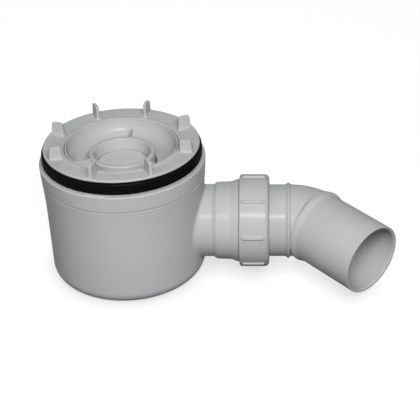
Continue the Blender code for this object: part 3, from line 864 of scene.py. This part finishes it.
@dataclass
class TraySeal:
    """The black rubber ring between the collar and the flange."""

    bore: float = 47.8
    radius: float = 54.5
    base: float = 86.6
    top: float = 94.7
    edge: float = 1.7
    belly: float = 0.1
    belly_radius: float = 20.0

    def surface(self) -> Grid:
        """Turned square ring with well rounded outer edges and a slight belly.

        Returns:
            The surface.
        """
        profile = rounded(
            [
                (self.bore, self.top, 0.5),
                (self.bore, self.base, 0.5),
                (self.radius - self.belly, self.base, self.edge),
                (self.radius, (self.base + self.top) / 2, self.belly_radius),
                (self.radius - self.belly, self.top, self.edge),
            ],
            step=0.8,
            steps=8,
        )
        return turned(profile, around(180))

    def build(self, finish: Material) -> Piece:
        """Makes the seal."""
        seal = make_piece("tray_seal_ring", [self.surface()])
        return mount(seal, finish, Body.TRAP, Slot.RUBBER, "tray_seal")


@dataclass
class Flange:
    """The clamping flange: dished disc, bead round the mouth, fins, seat and skirt."""

    base: float = 95.0
    rim_top: float = 96.9
    radius: float = 53.15
    mouth: float = 38.9
    mouth_height: float = 95.1
    bead_width: float = 2.4
    bead_height: float = 0.5
    thickness: float = 2.8
    seat_radius: float = 34.8
    seat: float = 80.1
    seat_skirt_top: float = 87.8
    ledge: float = 76.5
    ledge_bore: float = 30.0
    seat_wall: float = 2.3
    skirt_radius: float = 47.5
    skirt_bore: float = 44.9
    skirt_base: float = 71.0
    fins: int = 8
    fin_turn: float = 28.9
    fin_outer: float = 51.5
    fin_length: float = 9.2
    fin_top_length: float = 7.6
    fin_slope: float = 0.7
    fin_height: float = 8.7
    fin_thickness: float = 2.1
    fin_edge: float = 0.38
    fin_fillet: float = 0.7
    fin_sunk: float = 0.9
    bead_edge: float = 0.7

    def dish(self, radius: float) -> float:
        """Height of the top face: it falls in a straight line from the rim to the mouth."""
        share = (radius - self.mouth) / (self.radius - self.mouth)
        return self.mouth_height + (self.rim_top - self.mouth_height) * share

    def disc(self) -> Grid:
        """Turned profile of everything but the fins.

        Returns:
            The surface.
        """
        bead_end, bead_top = self.mouth + self.bead_width, self.mouth_height + self.bead_height
        outer = self.seat_radius + self.seat_wall
        cup_outer = self.mouth + self.seat_wall
        under = self.mouth_height - self.thickness
        profile = rounded(
            [
                (self.radius, self.base, 0.5),
                (self.radius, self.rim_top, 0.75),
                (bead_end, self.dish(bead_end), 0.7),
                (bead_end - self.bead_edge, bead_top + 0.15, 0.8),
                (self.mouth + self.bead_edge, bead_top + 0.1, 0.8),
                (self.mouth, self.mouth_height, 0.5),
                (self.mouth, self.seat_skirt_top, 0.6),
                (self.seat_radius, self.seat, 0.4),
                (self.seat_radius, self.ledge, 0.3),
                (self.ledge_bore, self.ledge, 0.4),
                (self.ledge_bore, self.ledge - self.seat_wall, 0.4),
                (outer, self.ledge - self.seat_wall, 0.5),
                (outer, self.seat - GAP, 0.5),
                (cup_outer, self.seat_skirt_top, 0.6),
                (cup_outer, under, 1.0),
                (self.skirt_bore, under, 1.0),
                (self.skirt_bore, self.skirt_base, 0.5),
                (self.skirt_radius, self.skirt_base, 0.5),
                (self.skirt_radius, self.base, 0.5),
            ],
            step=1.0,
            steps=6,
        )
        return turned(profile, around(192))

    def fin(self, index: int) -> Grid:
        """One upright fin: a plate with rounded rims and a fillet where it stands on the disc.

        Args:
            index: Number of the fin.

        Returns:
            The surface.
        """
        inner = self.fin_outer - self.fin_length
        top = self.dish(self.fin_outer) + self.fin_height
        root = (self.dish(self.fin_outer) + self.dish(inner)) / 2
        outline = rounded(
            [
                (inner, root - self.fin_sunk, 0.0),
                (self.fin_outer, root - self.fin_sunk, 0.0),
                (self.fin_outer, root + 1.2, 1.5),
                (inner + self.fin_slope + self.fin_top_length, top, 1.2),
                (inner + self.fin_slope, top, 1.2),
            ],
            step=0.5,
            steps=7,
        )
        turn = math.radians(self.fin_turn) + index * math.tau / self.fins
        return plate(outline, self.fin_thickness, self.fin_edge, turn, root, self.fin_fillet)

    def build(self, finish: Material) -> Piece:
        """Makes the flange with its fins."""
        flange = make_piece("flange_moulding", [self.disc(), *(self.fin(k) for k in range(self.fins))])
        return mount(flange, finish, Body.FLANGE, Slot.FLANGE, "flange")


@dataclass
class Funnel:
    """The lift-out funnel: bowl, dip tube, lifting ring on three arms, and the disc in the ring."""

    radius: float = 38.6
    mouth_height: float = 95.1
    rim: float = 1.2
    rim_rise: float = 0.15
    depth: float = 13.0
    tube_bore: float = 27.5
    lip: float = 23.3
    rounding: float = 0.6
    tube_radius: float = 29.7
    tube_base: float = 16.0
    seat: float = 80.1
    seat_radius: float = 34.5
    skirt_top: float = 88.1
    ring_radius: float = 22.5
    ring_bore: float = 19.4
    ring_top: float = 90.0
    ring_base: float = 78.0
    floor: float = 82.0
    floor_bore: float = 18.1
    floor_thickness: float = 2.0
    floor_ledge: float = 1.4
    floor_groove: float = 1.0
    arms: int = 3
    arm_turn: float = 85.5
    arm_top: float = 89.4
    arm_base: float = 80.8
    arm_thickness: float = 1.3
    arm_edge: float = 0.35
    arm_sunk: tuple[float, float] = (0.9, -0.3)

    def bowl(self, share: np.ndarray) -> np.ndarray:
        """Arc of the bowl's inner face from the lip at 0 to the rim at 1.

        The arc of radius q = (w^2 + d^2) / (2 d) is level under the ring's wall, where w is the distance from
        there to the rim and d the depth: (ring + q sin a, floor + q (1 - cos a)).

        Args:
            share: Shares of the way from lip to rim.

        Returns:
            Points (radius, height), one per row.
        """
        reach = self.radius - self.rim - self.ring_radius
        curve = (reach**2 + self.depth**2) / (2 * self.depth)
        first = math.asin((self.lip + self.rounding - self.ring_radius) / curve)
        angle = first + (math.acos(1.0 - self.depth / curve) - first) * share
        floor = self.mouth_height - self.depth
        radius = self.ring_radius + curve * np.sin(angle)
        return np.column_stack([radius, floor + curve * (1.0 - np.cos(angle))])

    def bowl_and_tube(self) -> Grid:
        """Turned profile of the tube, the seat, the bowl's back, its rim, its inner face and its lip.

        Returns:
            The surface.
        """
        face = self.bowl(np.linspace(1.0, 0.0, 30))
        low, rim_top = float(face[-1, 1]), self.mouth_height + self.rim_rise
        corners = [
            (self.tube_bore, self.tube_base, 0.6),
            (self.tube_radius, self.tube_base, 1.0),
            (self.tube_radius, self.seat, 0.3),
            (self.seat_radius, self.seat, 0.5),
            (self.radius, self.skirt_top, 1.0),
            (self.radius, rim_top, 0.5),
            (float(face[0, 0]) - 0.02, rim_top, 0.5),
        ]
        corners += sharp(face[1:])
        corners += [
            (self.lip + 0.28, low - 0.04, 0.0),
            (self.lip + 0.08, low - 0.2, 0.0),
            (self.lip, low - 0.5, 0.0),
            (self.lip, low - 1.4, 0.3),
            (self.lip + 1.6, self.seat, 0.3),
            (self.tube_bore, self.seat, 0.5),
        ]
        return turned(rounded(corners, step=1.2, steps=6), around(180))

    def ring(self) -> Grid:
        """Turned profile of the lifting ring, with a tapered bore and a ledge for its disc.

        Returns:
            The surface.
        """
        ledge, ledge_bore = self.floor - self.floor_thickness - GAP, self.floor_bore - self.floor_ledge
        profile = rounded(
            [
                (self.ring_bore, self.ring_top, 1.1),
                (self.floor_bore, self.floor, 0.2),
                (self.floor_bore, ledge, 0.2),
                (ledge_bore, ledge, 0.2),
                (ledge_bore, ledge - 1.5, 0.2),
                (self.floor_bore, self.ring_base, 0.2),
                (self.ring_radius, self.ring_base, 0.7),
                (self.ring_radius, self.ring_top, 1.2),
            ],
            step=0.9,
            steps=8,
        )
        return turned(profile, around(144))

    def arm(self, index: int) -> Grid:
        """One thin arm from inside the ring's wall into the bowl's wall.

        Args:
            index: Number of the arm.

        Returns:
            The surface.
        """
        inner = (self.ring_radius + self.ring_bore) / 2
        face = self.bowl(np.linspace(0.0, 1.0, 40))
        face = face[face[:, 1] < self.arm_top - 0.3][::4] + np.array(self.arm_sunk)
        corners = [(inner, self.arm_base, 0.0), (self.lip + self.arm_sunk[0], self.arm_base, 0.0)]
        corners += sharp(face)
        corners += [(float(face[-1, 0]) + 0.4, self.arm_top, 0.0), (inner, self.arm_top, 0.0)]
        outline = rounded(corners, step=0.8)
        turn = math.radians(self.arm_turn) + index * math.tau / self.arms
        return plate(outline, self.arm_thickness, self.arm_edge, turn, self.arm_base, 0.0)

    def disc(self) -> Grid:
        """Turned profile of the disc, narrower than the ring's bore by the groove round it.

        Returns:
            The surface.
        """
        edge = self.floor_bore - self.floor_groove
        low = self.floor - self.floor_thickness
        corners = [(0.0, low, 0.0), (edge, low, 0.3), (edge, self.floor, 0.45), (0.0, self.floor, 0.0)]
        profile = rounded(corners, closed=False, step=1.0)
        return turned(profile, around(120), closed=False)

    def build(self, finish: Material, lit_disc_finish: Material) -> list[Piece]:
        """Makes the funnel and the disc in its ring.

        Args:
            finish: Material of the funnel.
            lit_disc_finish: Material of the disc, a lighter copy of the plastic whose extra paleness is
                painted light.

        Returns:
            The funnel and the disc.
        """
        grids = [self.bowl_and_tube(), self.ring(), *(self.arm(k) for k in range(self.arms))]
        funnel = make_piece("funnel_moulding", grids)
        mount(funnel, finish, Body.FUNNEL, Slot.FLANGE, "dip_funnel")
        disc = make_piece("ring_floor_disc", [self.disc()])
        return [funnel, mount(disc, lit_disc_finish, Body.FUNNEL, Slot.FLANGE, "ring_floor")]


@dataclass
class Nut:
    """The compression nut with its low ribs."""

    start: float = 79.2
    end: float = 99.8
    bore: float = 28.6
    face_bore: float = 25.3
    stop: float = 95.5
    radius: float = 32.1
    chamfer: float = 1.5
    shoulder: float = 3.6
    axis: float = 35.35
    ribs: int = 8
    rib_turn: float = 8.6
    rib_width: float = 2.4
    rib_height: float = 1.15
    rib_start: float = 81.0
    rib_end: float = 96.8
    rib_edge: float = 0.95
    rib_slope: float = 0.9
    rib_columns: float = 0.075

    def surface(self) -> Grid:
        """Turned profile whose outside is raised into ribs.

        The rise is the rib's height times a window across it and a window along it. Columns stand close
        together over each rib, as far as the rib's columns reach in radians, and further apart between ribs.

        Returns:
            The surface.
        """
        profile = rounded(
            [
                (self.bore, self.start, 0.4),
                (self.radius, self.start, self.chamfer),
                (self.radius, self.end, self.shoulder),
                (self.face_bore, self.end, 0.5),
                (self.face_bore, self.stop, 0.4),
                (self.bore, self.stop, 0.4),
            ],
            step=0.6,
            steps=10,
        )
        pitch = math.tau / self.ribs
        beside = self.rib_columns * 1.2
        fine = np.linspace(-self.rib_columns, self.rib_columns, 31)
        coarse = np.linspace(beside, pitch - beside, 16)
        one = np.concatenate([fine, coarse])
        turn = -math.pi / 2 - math.radians(self.rib_turn)
        angles = np.concatenate([one + turn + k * pitch for k in range(self.ribs)])
        grid = turned(profile, angles)
        off = (angles - turn + pitch / 2) % pitch - pitch / 2
        across = window(off * self.radius, self.rib_width / 2 - 0.5, self.rib_edge)
        middle, half = (self.rib_start + self.rib_end) / 2, (self.rib_end - self.rib_start) / 2
        along = window(profile[:, 1] - middle, half - self.rib_slope, self.rib_slope)
        along = along * (profile[:, 0] > self.bore + 1.2)
        raised = self.rib_height * along[:, None] * across[None, :]
        radius = np.hypot(grid.points[..., 0], grid.points[..., 1])
        grid.points[..., :2] *= ((radius + raised) / radius)[..., None]
        return laid_over(grid, self.axis)

    def build(self, finish: Material) -> Piece:
        """Makes the nut."""
        return mount(make_piece("nut_moulding", [self.surface()]), finish, Body.NUT, Slot.PIPE, "outlet_nut")


@dataclass
class Elbow:
    """The elbow: spigot, bend and leg as one pipe with a bead and a stop ring."""

    start: float = 67.0
    radius: float = 25.0
    leg_radius: float = 24.6
    wall: float = 2.2
    centre: float = 125.0
    bend_radius: float = 25.5
    angle: float = 45.0
    turn: float = 6.3
    leg: float = 60.9
    axis: float = 35.35
    bead_centre: float = 112.9
    bead_width: float = 4.4
    bead_height: float = 1.3
    ring_width: float = 10.0
    ring_height: float = 1.5
    mouth_round: float = 1.5
    mouth_edge: float = 0.4

    def stations(self) -> tuple[float, float, float]:
        """Distances along the path where the bend starts and ends, and where the leg ends.

        Returns:
            Start of the bend, end of the bend and end of the leg, in millimetres.
        """
        sweep = math.radians(self.angle)
        tangent = self.bend_radius * math.tan(sweep / 2)
        bend_start = self.centre - tangent
        bend_end = bend_start + self.bend_radius * sweep
        return bend_start, bend_end, bend_end + self.leg - tangent

    def plain(self, along: np.ndarray) -> np.ndarray:
        """Outer radius without its ridges: a slow straight taper over the bend.

        Args:
            along: Distances along the path.

        Returns:
            Radii at these distances.
        """
        bend_start, bend_end, _ = self.stations()
        share = np.clip((along - bend_start) / (bend_end - bend_start), 0.0, 1.0)
        return self.radius + (self.leg_radius - self.radius) * share

    def outer(self, along: np.ndarray) -> np.ndarray:
        """Outer radius with a ridge of cos^2 at the bead and a wider one at the stop ring.

        Args:
            along: Distances along the path.

        Returns:
            Radii at these distances.
        """
        bend_end = self.stations()[1]
        bead = np.cos(np.clip((along - self.bead_centre) / self.bead_width, -0.5, 0.5) * math.pi) ** 2
        ring = np.cos(np.clip((along - bend_end) / self.ring_width, -0.5, 0.5) * math.pi) ** 2
        return self.plain(along) + self.bead_height * bead + self.ring_height * ring

    def surface(self) -> Grid:
        """Circles about a path of line, arc and line, first along the outside and then back along the bore.

        Each point is C(s) + r(s) (cos a X + sin a N(s)), with C the path, r the radius, X the axis across the
        bend and N the path's normal in the plane of the bend. The whole is then turned about the outlet.

        Returns:
            The surface.
        """
        bend_start, bend_end, end = self.stations()
        bead = self.bead_centre + np.linspace(-0.55, 0.55, 23) * self.bead_width
        ring = bend_end + np.linspace(-0.55, 0.55, 27) * self.ring_width
        outer_end, inner_end = end - self.mouth_edge, end - self.mouth_round - self.mouth_edge
        body = np.arange(self.start + 1.3, outer_end, 1.0)
        out = np.unique(np.round(np.concatenate([body, bead, ring, [outer_end]]), 4))
        back = np.linspace(inner_end, self.start + 0.4, 110)
        outside = np.column_stack([out, self.outer(out)])
        lip_in = self.leg_radius - self.wall
        lip = np.array([[end - 0.15, self.leg_radius - 0.06], [end - 0.03, self.leg_radius - 0.2]])
        bend = np.linspace(0.0, math.pi / 2, 9)
        depth, widening = self.mouth_round * (1 - np.cos(bend)), self.mouth_round * (1 - np.sin(bend))
        face = np.column_stack([end - depth, lip_in + widening])
        inside = np.column_stack([back, self.plain(back) - self.wall])
        near = self.radius - self.wall
        nose = np.array(
            [[self.start + 0.1, near + 0.1], [self.start, near + 0.4], [self.start, self.radius - 0.9]]
            + [[self.start + 0.25, self.radius - 0.45], [self.start + 1.0, self.radius - 0.08]]
        )
        rows = np.concatenate([outside, lip, face, inside, nose])
        along, radius = rows[:, 0], rows[:, 1]
        turned_by = np.clip((along - bend_start) / self.bend_radius, 0.0, math.radians(self.angle))
        beyond = np.maximum(along - bend_end, 0.0)
        y = -self.bend_radius * (1 - np.cos(turned_by)) - np.sin(turned_by) * beyond
        z = np.minimum(along, bend_start) + self.bend_radius * np.sin(turned_by) + np.cos(turned_by) * beyond
        centre = np.column_stack([0.0 * y, y, z])
        side = np.column_stack([0.0 * y, np.cos(turned_by), np.sin(turned_by)])
        angles = around(144)
        first = np.array([1.0, 0.0, 0.0])
        circle = np.cos(angles)[None, :, None] * first + np.sin(angles)[None, :, None] * side[:, None, :]
        points = centre[:, None, :] + radius[:, None, None] * circle
        tilt = math.radians(self.turn)
        x, y = points[..., 0].copy(), points[..., 1].copy()
        points[..., 0] = x * math.cos(tilt) - y * math.sin(tilt)
        points[..., 1] = x * math.sin(tilt) + y * math.cos(tilt)
        return laid_over(Grid(points, True), self.axis)

    def build(self, finish: Material) -> Piece:
        """Makes the elbow."""
        return mount(make_piece("elbow_moulding", [self.surface()]), finish, Body.ELBOW, Slot.PIPE, "elbow")


@dataclass(frozen=True)
class Lamp:
    """A soft rectangular lamp that faces the middle of the object.

    It hangs turn degrees to the right of the front, rise degrees above the floor and away metres from the
    middle. Its width and height are in metres and its power is in watts.
    """

    name: str
    turn: float
    rise: float
    away: float
    size: tuple[float, float]
    power: float

    def build(self, aim: Vector) -> None:
        """Hangs the lamp at aim + away (sin turn cos rise, -cos turn cos rise, sin rise).

        Args:
            aim: Point that it faces, in metres.
        """
        flat, up = math.radians(self.turn), math.radians(self.rise)
        ray = Vector((math.sin(flat) * math.cos(up), -math.cos(flat) * math.cos(up), math.sin(up)))
        data = bpy.data.lights.new(self.name, "AREA")
        data.shape = "RECTANGLE"
        data.size, data.size_y = self.size
        data.energy = self.power
        lamp = bpy.data.objects.new(self.name, data)
        lamp.location = aim + ray * self.away
        lamp.rotation_euler = (-ray).to_track_quat("-Z", "Y").to_euler()
        bpy.context.scene.collection.objects.link(lamp)


@dataclass
class PhotoRoom:
    """Floor, backdrop light, lamps and camera.

    Lengths are in metres and angles in degrees. Glow is the strength of the floor's own light in the open,
    and painted shadow glow its lower strength where the object touches the floor, a painted contact shadow.
    """

    focal_pixels: float = 1130.08
    sensor_mm: float = 36.0
    nearest: float = 0.01
    furthest: float = 20.0
    eye: tuple[float, float, float] = (0.1064, -0.6749, 0.4472)
    yaw: float = -4.06
    pitch: float = -30.82
    roll: float = -2.04
    aim: tuple[float, float, float] = (0.06, 0.0, 0.05)
    floor_reach: float = 6.0
    floor_drop: float = 0.0002
    floor_white: float = 0.16
    floor_thrown: float = 0.05
    glow: float = 0.92
    painted_shadow_glow: float = 0.62
    painted_shadow_reach: float = 0.016
    even_light: float = 0.02
    lamps: tuple[Lamp, ...] = (
        Lamp("key_strip", 1.0, 42.2, 0.85, (0.16, 0.07), 1.7),
        Lamp("upper_softbox", 2.0, 42.0, 0.9, (0.36, 0.26), 2.0),
        Lamp("key_softbox", 22.0, 40.0, 0.9, (0.3, 0.25), 3.7),
        Lamp("front_softbox", 4.0, 31.0, 0.84, (0.34, 0.24), 0.75),
        Lamp("top_softbox", 4.0, 62.0, 0.95, (0.4, 0.4), 0.45),
        Lamp("low_front_strip", -6.0, 15.0, 0.8, (0.4, 0.14), 0.3),
        Lamp("left_fill", -58.0, 30.0, 1.2, (0.5, 0.5), 2.0),
        Lamp("back_light", 180.0, 45.0, 1.2, (0.5, 0.5), 0.4),
        Lamp("low_back_fill", 190.0, 12.0, 1.2, (1.2, 0.44), 3.0),
    )

    def camera(self) -> None:
        """Sets the camera from its place, its three angles and its focal length in pixels of the image.

        It looks along (sin yaw cos pitch, cos yaw cos pitch, sin pitch), rolled about that line.
        """
        yaw, pitch, roll = (math.radians(v) for v in (self.yaw, self.pitch, self.roll))
        ahead = Vector((math.sin(yaw) * math.cos(pitch), math.cos(yaw) * math.cos(pitch), math.sin(pitch)))
        level = Vector((math.cos(yaw), -math.sin(yaw), 0.0))
        upright = level.cross(ahead)
        right = level * math.cos(roll) + upright * math.sin(roll)
        up = upright * math.cos(roll) - level * math.sin(roll)
        data = bpy.data.cameras.new("camera")
        data.sensor_width = self.sensor_mm
        data.lens = self.focal_pixels * self.sensor_mm / IMAGE_SIDE
        data.clip_start, data.clip_end = self.nearest, self.furthest
        camera = bpy.data.objects.new("camera", data)
        place = Matrix((right, up, -ahead)).transposed().to_4x4()
        place.translation = Vector(self.eye)
        camera.matrix_world = place
        bpy.context.scene.collection.objects.link(camera)
        bpy.context.scene.camera = camera

    def by_ray(self, graph: Graph, thrown: Node, seen: Node) -> Socket:
        """One shader for the rays of the camera and those mirrored or let through, and one for all others.

        Args:
            graph: Graph of the floor or the world.
            thrown: Shader that lights the object.
            seen: Shader that shows in the picture.

        Returns:
            The shader that is one or the other.
        """
        path = graph.node("ShaderNodeLightPath").outputs
        mirrored = graph.math("MAXIMUM", path["Is Glossy Ray"], path["Is Transmission Ray"])
        shown = graph.math("MAXIMUM", path["Is Camera Ray"], mirrored)
        inputs = {0: shown, 1: thrown.outputs[0], 2: seen.outputs[0]}
        return graph.node("ShaderNodeMixShader", inputs).outputs[0]

    def floor(self) -> None:
        """Adds the pale floor, which is nearly white in the picture and throws little light on the object.

        In the picture it is a weak white that takes shadows, and a glow of its own. Close to the object the
        glow falls from its full strength to the painted shadow glow with the share of open air over the
        floor:
        a painted contact shadow.
        """
        mesh = bpy.data.meshes.new("floor")
        far, low = self.floor_reach, -self.floor_drop
        corners = [(-far, -far, low), (far, -far, low), (far, far, low), (-far, far, low)]
        mesh.from_pydata(corners, [], [(0, 1, 2, 3)])
        floor = bpy.data.objects.new("floor", mesh)
        bpy.context.scene.collection.objects.link(floor)
        material = bpy.data.materials.new("pale_floor")
        material.use_nodes = True
        graph = Graph(material.node_tree)
        graph.tree.nodes.remove(graph.tree.nodes["Principled BSDF"])
        white = graph.node("ShaderNodeBsdfDiffuse", {"Color": grey(self.floor_white)})
        # Painted contact shadow: the glow is dimmed where the object leaves little open air over the floor.
        open_air = graph.node("ShaderNodeAmbientOcclusion", {"Distance": self.painted_shadow_reach}).outputs["AO"]
        strength = graph.span(open_air, 0.0, 1.0, (self.painted_shadow_glow, self.glow))
        glow = graph.node("ShaderNodeEmission", {"Strength": strength})
        seen = graph.node("ShaderNodeAddShader", {0: white.outputs[0], 1: glow.outputs[0]})
        thrown = graph.node("ShaderNodeBsdfDiffuse", {"Color": grey(self.floor_thrown)})
        graph.feed(graph.tree.nodes["Material Output"], {"Surface": self.by_ray(graph, thrown, seen)})
        mesh.materials.append(material)

    def world(self) -> None:
        """Sets a white background for the picture and a dim even light for the object."""
        world = bpy.data.worlds.new("studio")
        world.use_nodes = True
        graph = Graph(world.node_tree)
        thrown = graph.tree.nodes["Background"]
        graph.feed(thrown, {"Color": grey(1.0), "Strength": self.even_light})
        seen = graph.node("ShaderNodeBackground", {"Color": grey(1.0), "Strength": 1.0})
        graph.feed(graph.tree.nodes["World Output"], {"Surface": self.by_ray(graph, thrown, seen)})
        bpy.context.scene.world = world

    def build(self) -> None:
        """Sets the camera, floor, world and lamps."""
        self.camera()
        self.floor()
        self.world()
        for lamp in self.lamps:
            lamp.build(Vector(self.aim))
        bpy.context.scene.view_settings.view_transform = "Standard"


def dress_hidden(frame: dict[str, Any], finishes: dict[str, Material]) -> None:
    """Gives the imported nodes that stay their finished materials.

    Args:
        frame: The loaded frame.
        finishes: Material of each node by the node's name.
    """
    for name, finish in finishes.items():
        mesh = frame["nodes"][name].data
        mesh.materials.clear()
        mesh.materials.append(finish)


def main() -> None:
    """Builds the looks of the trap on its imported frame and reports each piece."""
    logging.basicConfig(level=logging.INFO, format="%(name)s: %(message)s")
    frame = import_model()
    PhotoRoom().build()
    studio = Studio()
    cup_plastic = PlasticFinish("satin_grey_cup", (0.459, 0.469, 0.479)).build(studio)
    flange_plastic = PlasticFinish("satin_light_flange", (0.452, 0.462, 0.467), roughness=0.2).build(studio)
    funnel_finish = PlasticFinish("satin_light_funnel", (0.446, 0.456, 0.461), roughness=0.13, grain=0.6)
    funnel_plastic = funnel_finish.build(studio)
    # The disc's plastic is lighter than the funnel's: painted light standing in for the light that reaches
    # the disc down in the ring.
    lit_disc_plastic = PlasticFinish("satin_ring_disc_painted_light", (0.55, 0.56, 0.565), roughness=0.24).build(studio)
    pipe_plastic = PlasticFinish("satin_grey_pipe", (0.440, 0.449, 0.458), roughness=0.17).build(studio)
    washer_plastic = PlasticFinish("white_washer", (0.78, 0.78, 0.76), roughness=0.45).build(studio)
    rubber = RubberFinish("black_seal_rubber").build(studio)
    pieces = [
        Cup().build(cup_plastic),
        Collar().build(cup_plastic),
        TraySeal().build(rubber),
        Flange().build(flange_plastic),
        *Funnel().build(funnel_plastic, lit_disc_plastic),
        Nut().build(pipe_plastic),
        Elbow().build(pipe_plastic),
    ]
    for piece in pieces:
        LOG.info("%s: %d faces", piece.name, len(piece.data.polygons))
    hidden = {"funnel_seal": rubber, "cone_seal": rubber, "slip_washer": washer_plastic}
    dress_hidden(frame, hidden)
    for name in hidden:
        LOG.info("%s: keeps its packed shape", name)


if __name__ == "__main__":
    main()
